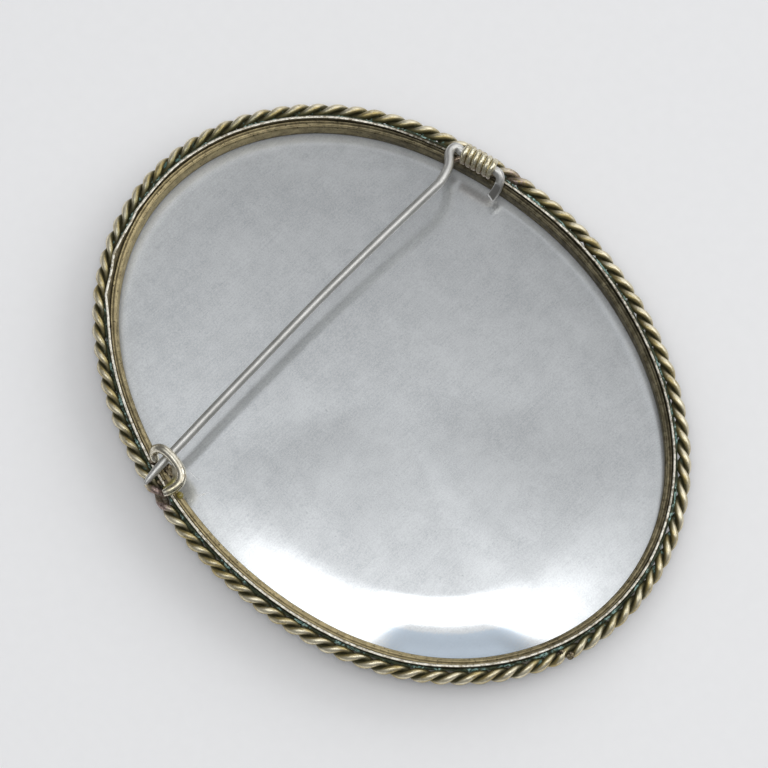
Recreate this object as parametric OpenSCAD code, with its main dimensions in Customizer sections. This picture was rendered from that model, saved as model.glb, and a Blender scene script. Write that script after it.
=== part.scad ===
// Oval brooch with a lacquered tablet in a metal rim, lying face down.
// Millimetres. +Z points out of the back, +X runs along the long axis of the oval,
// and the origin is on the surface that it lies on, under the middle of the oval.

/* [Rim] */
// Half the length of the oval, at the middle of the rim wall
half_length = 28.55; // [26:0.05:32]
// Half the width of the oval, at the middle of the rim wall
half_width = 21.55; // [19.5:0.05:24]
// Height of the free edge of the rim above the surface that the brooch lies on
rim_z = 5.3; // [5:0.1:6.5]
// Thickness of the rim wall
wall = 0.26; // [0.2:0.02:0.4]
// Height of the front lip above the surface
lip_z = 1.3; // [1:0.05:1.5]
// Thickness of the front lip
lip_thick = 0.35; // [0.25:0.05:0.4]
// How far the front lip reaches over the tablet
lip_reach = 0.9; // [0.6:0.1:1.2]
// Gap between neighbouring pieces
gap = 0.04; // [0.03:0.01:0.06]

/* [Rope border] */
// Diameter of each of the two twisted wires
strand = 0.68; // [0.5:0.02:0.8]
// Full turns of the twist round the whole border
rope_turns = 48; // [40:1:54]
// Depth of the rope's middle below the free edge of the rim
rope_drop = 0.87; // [0.8:0.01:1.2]

/* [Inner ring and back plate] */
// Width of the inner ring
ring_width = 0.7; // [0.6:0.05:1]
// Depth of the ring's crest below the free edge of the rim
ring_drop = 0.42; // [0.4:0.02:0.6]
// Depth of the plate's edge below the free edge of the rim
plate_drop = 2.75; // [2.5:0.05:2.8]
// Rise of the plate's middle above its edge
plate_bulge = 0.72; // [0.4:0.02:1.2]
// Thickness of the plate
plate_thick = 0.3; // [0.2:0.05:0.4]

/* [Lacquered tablet] */
// Rise of the domed front from the lip to the crown
tablet_dome = 1.7; // [1.66:0.02:1.8]
// Share of the oval that the flat spot at the crown takes
crown_flat = 0.14; // [0.1:0.01:0.2]

/* [Hinge] */
// Position of the hinge coil's middle along the oval
hinge_x = -9.35; // [-9.5:0.05:-9.2]
// Distance of the hinge axis from the long axis of the oval
hinge_y = 20.2; // [20.1:0.05:20.3]
// Turn of the hinge axis from the long axis, so that it lies along the rim
hinge_turn = 14.8; // [12:0.1:17]
// Height of the hinge axis above the free edge of the rim
hinge_rise = 0.8; // [0.78:0.01:0.82]
// Number of turns in the hinge coil
coil_turns = 6; // [5:1:6]
// Diameter of the wire that the coil is wound from
coil_wire = 0.5; // [0.44:0.01:0.52]

/* [Pin and catch] */
// Diameter of the pin's wire
pin_d = 0.8; // [0.7:0.02:0.82]
// Clearance between the pin's axle and the coil, on the radius
axle_play = 0.04; // [0.03:0.01:0.06]
// Length of the pin's tapered end
taper_length = 5.4; // [4:0.1:5.5]
// Diameter of the blunt tip
tip_d = 0.4; // [0.2:0.02:0.5]
// Diameter of the catch's wire
hook_d = 0.74; // [0.6:0.02:0.76]

/* [Hidden] */

// Steps round the oval, and rings in each turn of the rope
oval_steps = 96;
rings_per_turn = 8;
rope_sides = 10;
wire_sides = 10;

// Small departures of the hand-bent outline from a true ellipse.
// Columns: waves round the oval, cosine part, sine part
outline_waves = [
    [1, 0.106, -0.038],
    [3, -0.105, -0.035],
    [4, -0.1, 0.02],
    [6, -0.055, 0.03],
];

plate_edge_z = rim_z - plate_drop;
tablet_back_z = plate_edge_z - plate_thick - gap;
inside = wall / 2 + gap;
rope_middle = wall / 2 + gap + strand;
hinge_z = rim_z + hinge_rise;
bore_r = pin_d / 2 + axle_play;
coil_r = bore_r + coil_wire;
coil_length = coil_turns * coil_wire * 1.13;
coil_half = coil_length / 2;
axle_overhang = 0.18;

// The stem runs straight from the S-bend to where its taper begins.
// Columns: x, y, height above the free edge of the rim
stem_start = [-9.99, 15.44, 2.45];
stem_end = [-8.91, -16.66, 0.67];

// Point from its distance along the hinge axis, across it, and height above the free edge
function at_hinge(p) = [
    hinge_x + p[0] * cos(hinge_turn) - p[1] * sin(hinge_turn),
    hinge_y + p[0] * sin(hinge_turn) + p[1] * cos(hinge_turn),
    p[2],
];

// Middle line of the S-bend between the axle and the stem.
// Columns: distance beyond the coil, across the hinge axis, height above the hinge axis
s_bend_steps = [
    [axle_overhang, 0, 0],
    [0.45, 0.12, 0.01],
    [0.8, 0.05, 0.06],
    [0.98, -0.3, 0.16],
    [0.97, -0.72, 0.32],
    [0.8, -1.1, 0.5],
    [0.52, -1.52, 0.74],
    [0.27, -2, 1],
    [0.1, -2.56, 1.25],
    [0.03, -3.17, 1.46],
    [0.02, -3.75, 1.58],
];

// Middle line of the tail, which turns down inside the rim. Columns as above
tail_steps = [
    [axle_overhang, 0, 0],
    [0.46, -0.06, -0.05],
    [0.76, -0.35, -0.23],
    [0.9, -0.77, -0.5],
    [0.92, -1.17, -0.85],
    [0.83, -1.54, -1.29],
    [0.68, -1.94, -1.78],
];

s_bend = concat(
    [for (p = s_bend_steps) at_hinge([-coil_half - p[0], p[1], hinge_rise + p[2]])],
    [stem_start]
);
tail = [for (p = tail_steps) at_hinge([coil_half + p[0], p[1], hinge_rise + p[2]])];

// Middle line of the catch hook, from its foot on the rim to its free end.
// Columns: x, y, height above the free edge of the rim
hook = [
    [-9.54, -19.77, -0.26],
    [-9.6, -19.73, -0.06],
    [-9.85, -19.56, 0.1],
    [-10.06, -19.34, 0.26],
    [-10.1, -19.04, 0.68],
    [-9.87, -18.74, 1.06],
    [-9.43, -18.51, 1.32],
    [-8.94, -18.36, 1.43],
    [-7.94, -18.37, 1.46],
    [-6.99, -18.71, 1.45],
    [-6.3, -19.16, 1.43],
    [-6.02, -19.68, 1.4],
    [-6.01, -20.25, 1.38],
    [-6.19, -20.81, 1.34],
    [-6.4, -21.3, 1.3],
];

// Length of a vector, and the vector of length 1 along it
function unit(v) = v / norm(v);

// Distance from the ellipse that the hand-bent outline keeps at direction a
function wave(a) = [for (w = outline_waves) w[1] * cos(w[0] * a) + w[2] * sin(w[0] * a)]
    * [for (w = outline_waves) 1];

// Point of the oval at parameter t, moved outwards by d
function oval_point(t, d = 0) =
    let (p = [half_length * cos(t), half_width * sin(t)])
    let (n = unit([cos(t) / half_length, sin(t) / half_width]))
    p + (d + wave(atan2(p[1], p[0]))) * n;

// Outline of the oval, moved outwards by d
function oval(d = 0) = [for (i = [0:oval_steps - 1]) oval_point(360 * i / oval_steps, d)];

// Parameter at which a share s of the way round has been covered, to first order
function even(s) =
    let (a2 = half_length * half_length)
    let (b2 = half_width * half_width)
    360 * s + 45 * (a2 - b2) / (a2 + b2) / PI * sin(720 * s);

// Triangles of a grid of rows, each row a closed loop of sides points
function tube_faces(rows, sides, closed) = [
    for (i = [0:rows - (closed ? 1 : 2)])
        for (j = [0:sides - 1])
            let (a = i * sides + j)
            let (b = i * sides + (j + 1) % sides)
            let (c = ((i + 1) % rows) * sides + (j + 1) % sides)
            let (d = ((i + 1) % rows) * sides + j)
            each [[a, b, c], [a, c, d]]
];

// Smooth curve through points, with k steps from each point to the next
function curve(points, k) = [
    for (i = [0:len(points) - 2])
        let (b = points[i])
        let (c = points[i + 1])
        let (a = i == 0 ? 2 * b - c : points[i - 1])
        let (d = i == len(points) - 2 ? 2 * c - b : points[i + 2])
        for (j = [0:k - (i == len(points) - 2 ? 0 : 1)])
            let (s = j / k)
            0.5 * (2 * b + (c - a) * s + (2 * a - 5 * b + 4 * c - d) * s * s
                + (3 * b - a - 3 * c + d) * s * s * s)
];

// Carries a closed section round the oval. Section columns: distance outwards, height
module sweep_oval(section) {
    points = [
        for (i = [0:oval_steps - 1])
            for (s = section)
                let (p = oval_point(360 * i / oval_steps, s[0]))
                [p[0], p[1], s[1]]
    ];
    polyhedron(points, tube_faces(oval_steps, len(section), true));
}

// Solid oval from its front to its back. Row columns: share of the oval outline, height
module oval_stack(rows, edge) {
    n = oval_steps;
    last = len(rows) * n;
    points = [
        for (r = rows)
            for (p = oval(edge))
                [r[0] * p[0], r[0] * p[1], r[1]],
        [0, 0, rows[0][1]],
        [0, 0, rows[len(rows) - 1][1]],
    ];
    sides = [
        for (r = [0:len(rows) - 2])
            for (i = [0:n - 1])
                let (a = r * n + i)
                let (b = a + n)
                let (c = (r + 1) * n + (i + 1) % n)
                let (d = r * n + (i + 1) % n)
                each [[a, b, c], [a, c, d]]
    ];
    front = [for (i = [0:n - 1]) [last, i, (i + 1) % n]];
    back = [for (i = [0:n - 1]) [last - n + i, last + 1, last - n + (i + 1) % n]];
    polyhedron(points, concat(sides, front, back));
}

// Wire along the points, whose turns stay clear of the direction ref
module bent_wire(points, r, ref) {
    n = len(points);
    rings = [
        for (i = [0:n - 1])
            let (t = unit(points[min(i + 1, n - 1)] - points[max(i - 1, 0)]))
            let (u = unit(cross(ref, t)))
            let (v = cross(t, u))
            for (j = [0:wire_sides - 1])
                let (a = -360 * j / wire_sides)
                points[i] + r * (cos(a) * u + sin(a) * v)
    ];
    caps = [
        [for (j = [wire_sides - 1:-1:0]) j],
        [for (j = [0:wire_sides - 1]) (n - 1) * wire_sides + j],
    ];
    translate([0, 0, rim_z])
        polyhedron(rings, concat(tube_faces(n, wire_sides, false), caps));
}

// Stem and tapered end in one turned form, from stem_start along the stem
module stem() {
    d = stem_end - stem_start;
    length = norm(d);
    r = pin_d / 2;
    // Columns: radius, distance from the start of the taper as a share of its length
    taper = [[r, 0], [r * 0.95, 0.5], [r * 0.84, 0.78], [tip_d / 2, 0.97]];
    steps = 4;
    profile = [
        [0, 0],
        [r, 0],
        for (row = taper) [row[0], length + taper_length * row[1]],
        for (i = [1:steps - 1])
            let (a = 90 * i / steps)
            [tip_d / 2 * cos(a), length + taper_length * (0.97 + 0.03 * sin(a))],
        [0, length + taper_length],
    ];
    translate(stem_start + [0, 0, rim_z])
        rotate([0, acos(d[2] / length), atan2(d[1], d[0])])
            rotate_extrude($fn = 48)
                polygon(profile);
}

module rim_band() {
    translate([0, 0, lip_z])
        linear_extrude(rim_z - lip_z)
            difference() {
                polygon(oval(wall / 2));
                polygon(oval(-wall / 2));
            }
    translate([0, 0, lip_z])
        linear_extrude(lip_thick)
            difference() {
                polygon(oval(0));
                polygon(oval(-wall / 2 - lip_reach));
            }
}

// Solder that seats the coil along the rim wall
module solder_saddle() {
    depth = 0.22;
    height = 0.5;
    reach = 0.42;
    length = coil_length - 0.5;
    translate([0, 0, rim_z - depth])
        linear_extrude(height)
            intersection() {
                difference() {
                    polygon(oval(reach));
                    polygon(oval(-reach));
                }
                translate([hinge_x, hinge_y])
                    rotate(hinge_turn)
                        square([length, 6], center = true);
            }
}

// Turns a form that stands on +Z to lie along the hinge axis, centred on the hinge
module along_hinge(length) {
    translate([hinge_x, hinge_y, hinge_z])
        rotate([0, 90, hinge_turn])
            translate([0, 0, -length / 2])
                children();
}

// Close-wound coil: one round bulge for each turn
module coil() {
    pitch = coil_length / coil_turns;
    groove = 0.3;
    steps = 6;
    profile = [
        [0, 0],
        for (i = [0:coil_turns - 1])
            for (j = [0:steps - (i == coil_turns - 1 ? 0 : 1)])
                let (a = 180 * j / steps)
                [coil_r - coil_wire * groove * (1 - sin(a)), pitch * (i + (1 - cos(a)) / 2)],
        [0, coil_length],
    ];
    along_hinge(coil_length)
        rotate_extrude($fn = 48)
            polygon(profile);
}

module bezel() {
    color("darkkhaki")
        difference() {
            union() {
                rim_band();
                solder_saddle();
                coil();
                bent_wire(curve(hook, 2), hook_d / 2, [0, 0.6, -0.8]);
            }
            along_hinge(coil_length + 2)
                cylinder(r = bore_r, h = coil_length + 2, $fn = 48);
        }
}

// Two wires twisted together, carried round the outside of the rim
module rope_border() {
    rings = rope_turns * rings_per_turn;
    waist = 0.62;
    points = [
        for (i = [0:rings - 1])
            let (t = even(i / rings))
            let (phase = 360 * rope_turns * i / rings)
            for (j = [0:rope_sides - 1])
                let (a = 360 * j / rope_sides)
                let (r = strand * max(abs(cos(a)), waist / 2))
                let (p = oval_point(t, rope_middle + r * cos(a + phase)))
                [p[0], p[1], rim_z - rope_drop + r * sin(a + phase)]
    ];
    color("tan")
        polyhedron(points, tube_faces(rings, rope_sides, true));
}

module retaining_ring() {
    // Columns: share of the ring's width from the wall inwards, depth below the rim
    section = [
        [0, plate_drop - gap],
        [0, ring_drop + 0.2],
        [0.16, ring_drop],
        [0.36, ring_drop + 0.1],
        [0.6, ring_drop],
        [0.88, ring_drop + 0.14],
        [1, ring_drop + 0.5],
        [1, plate_drop - gap - 0.06],
    ];
    color("peru")
        sweep_oval([for (s = section) [-inside - s[0] * ring_width, rim_z - s[1]]]);
}

module back_plate() {
    // Shares of the oval at which the bulge is worked out, from the middle outwards
    shares = [0.25, 0.5, 0.75, 0.94];
    function top(s) = plate_edge_z - gap + plate_bulge * (1 - s * s);
    rows = concat(
        [for (s = shares) [s, top(s) - plate_thick]],
        [[1, top(1) - plate_thick], [1, top(1)]],
        [for (i = [len(shares) - 1:-1:0]) [shares[i], top(shares[i])]]
    );
    color("lightgray")
        oval_stack(rows, -inside);
}

module lacquer_plaque() {
    // Share of the oval inside the lip, and the domed front between it and the crown
    rabbet = 1 - (lip_reach + 0.1) / half_width;
    shares = [0.35, 0.55, 0.75, 0.88];
    function front(s) =
        tablet_dome * pow((s - crown_flat) / (rabbet - crown_flat), 1.7);
    rows = concat(
        [[crown_flat, 0]],
        [for (s = shares) [s, front(s)]],
        [[rabbet, tablet_dome], [1, tablet_dome]],
        [[1, tablet_back_z - gap], [0.5, tablet_back_z - gap]]
    );
    color("black")
        oval_stack(rows, -inside);
}

module pin() {
    r = pin_d / 2;
    bend_r = r * 0.985;
    lap = 0.12;
    along_axle = lap * [cos(hinge_turn), sin(hinge_turn), 0];
    into_stem = lap * unit(stem_end - stem_start);
    color("silver") {
        along_hinge(coil_length + 2 * axle_overhang)
            cylinder(r = r, h = coil_length + 2 * axle_overhang, $fn = 48);
        bent_wire(
            concat([s_bend[0] + along_axle], curve(s_bend, 2), [stem_start + into_stem]),
            bend_r, [0, 0, 1]
        );
        bent_wire(
            concat([tail[0] - along_axle], curve(tail, 3)),
            bend_r, [0.5, 0.6, -0.62]
        );
        stem();
    }
}

bezel();
rope_border();
retaining_ring();
back_plate();
lacquer_plaque();
pin();
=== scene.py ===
# %% [markdown]
# # The back of an oval brooch
#
# The brooch lies on its domed, lacquered front, so the camera sees its back: a bright
# tin plate in a metal frame, a border of two twisted wires, and a pin that turns in a
# little coil and slips under a hook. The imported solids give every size. This script
# dresses them: it keeps their places and makes finer surfaces and real-looking metals.

import math

import bpy
import numpy as np
from mathutils import Matrix, Vector


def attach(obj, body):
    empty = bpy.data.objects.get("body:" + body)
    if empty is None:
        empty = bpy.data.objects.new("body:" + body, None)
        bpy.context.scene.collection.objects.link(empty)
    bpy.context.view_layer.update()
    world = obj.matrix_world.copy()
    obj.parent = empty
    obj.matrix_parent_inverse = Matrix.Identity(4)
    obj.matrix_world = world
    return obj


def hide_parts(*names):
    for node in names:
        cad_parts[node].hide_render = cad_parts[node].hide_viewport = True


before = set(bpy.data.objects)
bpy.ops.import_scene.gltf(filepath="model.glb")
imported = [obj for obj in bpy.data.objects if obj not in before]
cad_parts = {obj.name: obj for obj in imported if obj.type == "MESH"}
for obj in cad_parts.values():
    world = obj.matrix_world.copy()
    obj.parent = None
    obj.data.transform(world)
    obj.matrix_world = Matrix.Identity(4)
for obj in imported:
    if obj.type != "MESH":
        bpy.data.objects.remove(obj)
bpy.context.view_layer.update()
print("solids:", sorted(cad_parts))

# %% [markdown]
# ## The camera
#
# The brooch was photographed from almost straight above, from 450 mm away, tilted 16
# degrees. A camera is a place, a direction to look in and a direction that is up in the
# picture. A matrix made of those three is exact, where an aiming constraint would have
# left the small roll of this picture out.

# %% Place the camera
MM = 0.001
CAMERA_AZIMUTH = math.radians(50.18)
CAMERA_ELEVATION = math.radians(74)
CAMERA_DISTANCE = 450 * MM
PICTURE_WIDTH = 68.5 * MM
SENSOR_WIDTH = 36.0
LONG_AXIS_TURN = math.radians(46.18)
AIM = Vector((-0.43, -0.25, 5.3)) * MM

camera_back = Vector((
    math.sin(CAMERA_AZIMUTH) * math.cos(CAMERA_ELEVATION),
    -math.cos(CAMERA_AZIMUTH) * math.cos(CAMERA_ELEVATION),
    math.sin(CAMERA_ELEVATION),
))
picture_north = Vector((-math.sin(LONG_AXIS_TURN), math.cos(LONG_AXIS_TURN), 0))
picture_east = Vector((math.cos(LONG_AXIS_TURN), math.sin(LONG_AXIS_TURN), 0))
camera_up = (picture_north - camera_back * picture_north.dot(camera_back)).normalized()
camera_right = camera_up.cross(camera_back)

camera = bpy.data.objects.new("camera", bpy.data.cameras.new("camera"))
bpy.context.scene.collection.objects.link(camera)
bpy.context.scene.camera = camera
turn = Matrix((camera_right, camera_up, camera_back)).transposed().to_4x4()
camera.matrix_world = Matrix.Translation(AIM + camera_back * CAMERA_DISTANCE) @ turn
camera.data.sensor_width = SENSOR_WIDTH
camera.data.lens = SENSOR_WIDTH * CAMERA_DISTANCE / PICTURE_WIDTH
camera.data.clip_start = 10 * MM
print("lens:", round(camera.data.lens, 1), "mm")

# %% [markdown]
# ## Sizes
#
# The same named sizes as in the solid model, in metres, so that each fine surface lies
# where its solid lies. Heights are counted from the table, and distances from the
# middle line of the frame's thin wall.

# %% Name the sizes
HALF_LENGTH = 28.55 * MM
HALF_WIDTH = 21.55 * MM
RIM_TOP = 5.3 * MM
WALL = 0.26 * MM
LIP_REACH = 0.9 * MM
GAP = 0.04 * MM
INSIDE = WALL / 2 + GAP
STRAND = 0.68 * MM
ROPE_TURNS = 48
ROPE_MIDDLE = WALL / 2 + GAP + STRAND
ROPE_HEIGHT = RIM_TOP - 0.87 * MM
PLATE_EDGE = RIM_TOP - 2.75 * MM
PLATE_BULGE = 0.72 * MM
PLATE_THICKNESS = 0.3 * MM
TABLET_BACK = PLATE_EDGE - PLATE_THICKNESS - GAP
TABLET_DOME = 1.7 * MM
CROWN_SHARE = 0.14
HINGE = np.array([-9.35, 20.2, 6.1]) * MM
HINGE_TURN = math.radians(14.8)
COIL_TURNS = 6
COIL_WIRE = 0.5 * MM
COIL_SPREAD = 1.13
COIL_HALF = COIL_TURNS * COIL_WIRE * COIL_SPREAD / 2
PIN_RADIUS = 0.4 * MM
AXLE_PLAY = 0.04 * MM
BORE_RADIUS = PIN_RADIUS + AXLE_PLAY
HOOK_RADIUS = 0.37 * MM
OUTLINE_WAVES = [
    (1, 0.106, -0.038), (3, -0.105, -0.035), (4, -0.1, 0.02), (6, -0.055, 0.03),
]
print("wall:", [round(2 * half / MM, 1) for half in (HALF_LENGTH, HALF_WIDTH)], "mm across")

# %% [markdown]
# ## The oval
#
# A hand-bent frame is an ellipse with small errors. The outline is the ellipse, plus a
# few slow waves along its outward direction. Everything round the edge is carried along
# this one curve, so the wall, the rope and the ring all share its errors.

# %% The outline as a function


def turns(count):
    """Angles that divide a full turn into count equal steps, the last one left out."""
    return np.linspace(0, 2 * np.pi, count, endpoint=False)


def wave(angle):
    """Departure from the ellipse at a direction: the sum of a cosine and a sine wave
    for each order in OUTLINE_WAVES."""
    total = np.zeros_like(angle)
    for order, cosine, sine in OUTLINE_WAVES:
        total += MM * (cosine * np.cos(order * angle) + sine * np.sin(order * angle))
    return total


def oval(t, out):
    """Point of the oval at parameter t: (a cos t, b sin t) moved along the ellipse's
    outward direction (cos t / a, sin t / b) by the distance out and the wave."""
    x = HALF_LENGTH * np.cos(t)
    y = HALF_WIDTH * np.sin(t)
    normal_x = np.cos(t) / HALF_LENGTH
    normal_y = np.sin(t) / HALF_WIDTH
    size = np.hypot(normal_x, normal_y)
    shift = out + wave(np.arctan2(y, x))
    return x + shift * normal_x / size, y + shift * normal_y / size


def even(share):
    """Parameter t at which a share of the way round is covered: 2 pi share, plus a sine
    of twice that angle which evens out the ellipse's long and short sides."""
    a2 = HALF_LENGTH ** 2
    b2 = HALF_WIDTH ** 2
    return 2 * np.pi * share + (a2 - b2) / (a2 + b2) / 4 * np.sin(4 * np.pi * share)


def ripple(x, seed, orders=(1, 2, 3, 5, 8)):
    """Hand-made unevenness between about -1 and 1: sine waves of the given whole orders
    of the angle x, each with a phase drawn from the seed, and weaker as they get finer."""
    phases = np.random.default_rng(seed).uniform(0, 2 * np.pi, len(orders))
    weights = 1.5 + np.arange(len(orders))
    return sum(np.sin(k * x + phase) / w for k, phase, w in zip(orders, phases, weights))


def near(t, middle, width):
    """A smooth bump round the oval, 1 at the middle and small beyond the width on each
    side: the bell curve of the angular distance. Both are in degrees."""
    distance = np.degrees(np.angle(np.exp(1j * (t - math.radians(middle)))))
    return np.exp(-((distance / width) ** 2))


print("outline ready:", len(OUTLINE_WAVES), "waves")

# %% [markdown]
# ## From grids to meshes
#
# Most pieces are a grid of points: rings along a path, and points round each ring. The
# faces are the same for every such grid, so one helper makes them, and another puts the
# points, the faces and any painted values into a mesh in one go, which is much quicker
# than adding vertices one by one.

# %% Points and faces into a mesh


def grid_quads(rows, columns, close_rows=False, start=0):
    """Four corner numbers of each face of a grid whose columns close into rings. The
    last row joins the first one where close_rows is set."""
    row = np.arange(rows if close_rows else rows - 1)[:, None]
    column = np.arange(columns)[None, :]
    after = (row + 1) % rows * columns
    a = row * columns + column
    b = row * columns + (column + 1) % columns
    c = after + (column + 1) % columns
    d = after + column
    return start + np.stack([a, b, c, d], -1).reshape(-1, 4)


def fan(ring, centre, flip=False):
    """Triangles from a ring of corner numbers to one centre point."""
    following = np.roll(ring, -1)
    order = [following, ring] if flip else [ring, following]
    return np.stack([*order, np.full_like(ring, centre)], -1)


def new_mesh(name, points, quads, triangles=None, values=None):
    """A mesh object of points, four-cornered faces and three-cornered faces. Values
    holds a number for each point, ring or column under each name, for the material."""
    points = np.asarray(points, dtype=np.float32)
    grid = points.shape[:-1]
    points = points.reshape(-1, 3)
    triangles = np.zeros((0, 3), int) if triangles is None else triangles
    corners = np.concatenate([quads.ravel(), triangles.ravel()]).astype(np.int32)
    sizes = np.concatenate([np.full(len(quads), 4), np.full(len(triangles), 3)])
    starts = np.concatenate([[0], np.cumsum(sizes)[:-1]]).astype(np.int32)
    mesh = bpy.data.meshes.new(name)
    mesh.vertices.add(len(points))
    mesh.vertices.foreach_set("co", points.ravel())
    mesh.loops.add(len(corners))
    mesh.loops.foreach_set("vertex_index", corners)
    mesh.polygons.add(len(sizes))
    mesh.polygons.foreach_set("loop_start", starts)
    mesh.polygons.foreach_set("use_smooth", np.ones(len(sizes), dtype=bool))
    for key, numbers in (values or {}).items():
        layer = mesh.attributes.new(key, "FLOAT", "POINT")
        layer.data.foreach_set("value", np.broadcast_to(numbers, grid).astype(np.float32).ravel())
    mesh.update(calc_edges=True)
    mesh.validate()
    piece = bpy.data.objects.new(name, mesh)
    bpy.context.scene.collection.objects.link(piece)
    return piece


print("mesh helper ready")

# %% [markdown]
# Wires, lumps and scratches are all tubes: rings that stand square to a smooth path and
# are closed at both ends. A lump is a tube too, whose rings are its circles of latitude.

# %% Rings along a path


def unit(vectors):
    """Vectors of length 1 along the given ones, in the last column."""
    return vectors / np.linalg.norm(vectors, axis=-1, keepdims=True)


def smooth_curve(points, steps):
    """Smooth curve through points: between two of them it is the cubic that leaves and
    arrives along the line between their neighbours."""
    p = np.asarray(points, float)
    p = np.concatenate([[2 * p[0] - p[1]], p, [2 * p[-1] - p[-2]]])
    a, b, c, d = (p[k:len(p) - 3 + k, None] for k in range(4))
    s = (np.arange(steps) / steps)[None, :, None]
    squared = 2 * a - 5 * b + 4 * c - d
    cubed = 3 * b - a - 3 * c + d
    cubic = 2 * b + (c - a) * s + squared * s ** 2 + cubed * s ** 3
    return np.concatenate([cubic.reshape(-1, p.shape[1]) / 2, p[-2:-1]])


def square_to(path, across):
    """Two directions square to a path at each of its points. The first of them is also
    square to the vector across."""
    tangent = unit(np.gradient(path, axis=0))
    first = unit(np.cross(np.broadcast_to(across, path.shape), tangent))
    return first, np.cross(tangent, first)


def wire(path, radius, across, sides=20, flat=1.0):
    """Rings of points round a path: a ring is the circle radius (cos a, sin a) along the
    two directions square to the path, with the second part times flat."""
    first, second = square_to(path, across)
    angle = turns(sides)[None, :, None]
    radius = np.broadcast_to(radius, len(path))[:, None, None]
    flat = np.broadcast_to(flat, len(path))[:, None, None]
    ring = np.cos(angle) * first[:, None] + flat * np.sin(angle) * second[:, None]
    return path[:, None] + radius * ring


def closed_tube(rings, start=0):
    """Points, quads and triangles of a tube that is closed by a fan at each end."""
    rows, sides = rings.shape[:2]
    points = np.concatenate([rings.reshape(-1, 3), [rings[0].mean(0)], [rings[-1].mean(0)]])
    first_ring = start + np.arange(sides)
    last_ring = first_ring + (rows - 1) * sides
    caps = [
        fan(first_ring, start + rows * sides, flip=True),
        fan(last_ring, start + rows * sides + 1),
    ]
    return points, grid_quads(rows, sides, start=start), np.concatenate(caps)


def capped(values, ends=(0, 0)):
    """Numbers for the points of a closed tube: those of its rings, then its two ends."""
    return np.concatenate([np.ravel(values), ends])


def tubes(name, many_rings, values=None):
    """One mesh of several closed tubes. Values holds, under each name, one number for
    each tube."""
    parts = []
    sizes = []
    for rings in many_rings:
        parts.append(closed_tube(rings, sum(sizes)))
        sizes.append(len(parts[-1][0]))
    values = {key: np.repeat(numbers, sizes) for key, numbers in (values or {}).items()}
    return new_mesh(name, *(np.concatenate(part) for part in zip(*parts)), values)


print("tube helpers ready")

# %% [markdown]
# ## Shader maths
#
# A finish is a node tree, but a formula reads better than a web of boxes. A Tone wraps
# one output socket: adding or multiplying Tones adds the Math nodes behind them. Any
# other node comes from one method, node(), which is given the kind of node, its
# settings and what goes into its sockets.

# %% A class that wraps a socket


class Tone:
    """One output socket of a material's node tree, which Python's operators work on."""

    def __init__(self, tree, socket=None):
        self.tree = tree
        self.socket = socket

    def node(self, kind, settings=None, output=0, **inputs):
        """Adds a node, first with its settings, then with a value or a Tone for each
        input, named as the socket is, with _ for a space, or by number as in _0."""
        made = self.tree.nodes.new("ShaderNode" + kind)
        for key, value in (settings or {}).items():
            setattr(made, key, value)
        for key, value in inputs.items():
            index = int(key[1:]) if key[0] == "_" else key.replace("_", " ")
            socket = made.inputs[index]
            if isinstance(value, Tone):
                self.tree.links.new(value.socket, socket)
            elif socket.type == "RGBA":
                socket.default_value = (*value, 1)
            else:
                socket.default_value = value
        return Tone(self.tree, made.outputs[output])

    def maths(self, operation, *values):
        """A Math node of this operation on the values."""
        sockets = {f"_{k}": value for k, value in enumerate(values)}
        return self.node("Math", {"operation": operation}, **sockets)

    def __add__(self, other):
        return self.maths("ADD", self, other)

    def __sub__(self, other):
        return self.maths("SUBTRACT", self, other)

    def __rsub__(self, other):
        return self.maths("SUBTRACT", other, self)

    def __mul__(self, other):
        return self.maths("MULTIPLY", self, other)

    def __abs__(self):
        return self.maths("ABSOLUTE", self)

    __radd__ = __add__
    __rmul__ = __mul__

    def between(self, low, high):
        """0 below low and 1 above high, with a smooth step between them."""
        settings = {"interpolation_type": "SMOOTHSTEP"}
        return self.node("MapRange", settings, Value=self, From_Min=low, From_Max=high)

    def mixed(self, first, second):
        """The first colour where this Tone is 0 and the second where it is 1."""
        return self.node("Mix", {"data_type": "RGBA"}, output=2, _0=self, _6=first, _7=second)

    def along(self, direction):
        """How far a place lies along a direction: the dot product of the two."""
        settings = {"operation": "DOT_PRODUCT"}
        return self.node("VectorMath", settings, output=1, _0=self, _1=direction)


print("Tone is ready")

# %% [markdown]
# The same few things come back in every finish: cloudy noise, the values painted on a
# mesh, and bumps.

# %% What the finishes share


def noise(place, size, detail=3.0, roughness=0.55, stretch=None):
    """Cloudy numbers around 0.5 whose patches are about size across, in metres. Stretch
    holds three factors that pull the patches along the axes."""
    if stretch:
        place = place.node("Mapping", Vector=place, Scale=[1 / s for s in stretch])
    return place.node("TexNoise", Vector=place, Scale=1 / size, Detail=detail, Roughness=roughness)


def painted(place, name):
    """The numbers that a mesh holds for each of its points under this name."""
    return place.node("Attribute", {"attribute_name": name}, output=2)


def bumps(height, depth):
    """Surface direction as if the height, from 0 to 1, stood up by depth in metres."""
    return height.node("Bump", Height=height, Distance=depth, Strength=1.0)


def finish(name, look):
    """A material whose look comes from the function look, which is given the object's
    coordinates as a Tone and returns what goes into each socket of the shader."""
    material = bpy.data.materials.new(name)
    material.use_nodes = True
    tree = material.node_tree
    tree.nodes.clear()
    place = Tone(tree).node("TexCoord", output="Object")
    shader = place.node("BsdfPrincipled", **look(place))
    surface = tree.nodes.new("ShaderNodeOutputMaterial").inputs["Surface"]
    tree.links.new(shader.socket, surface)
    return material


def dress(piece, material, body):
    """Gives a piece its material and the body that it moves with."""
    piece.data.materials.append(material)
    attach(piece, body)
    print(piece.name, len(piece.data.polygons), "faces")


print("finishing helpers ready")

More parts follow.
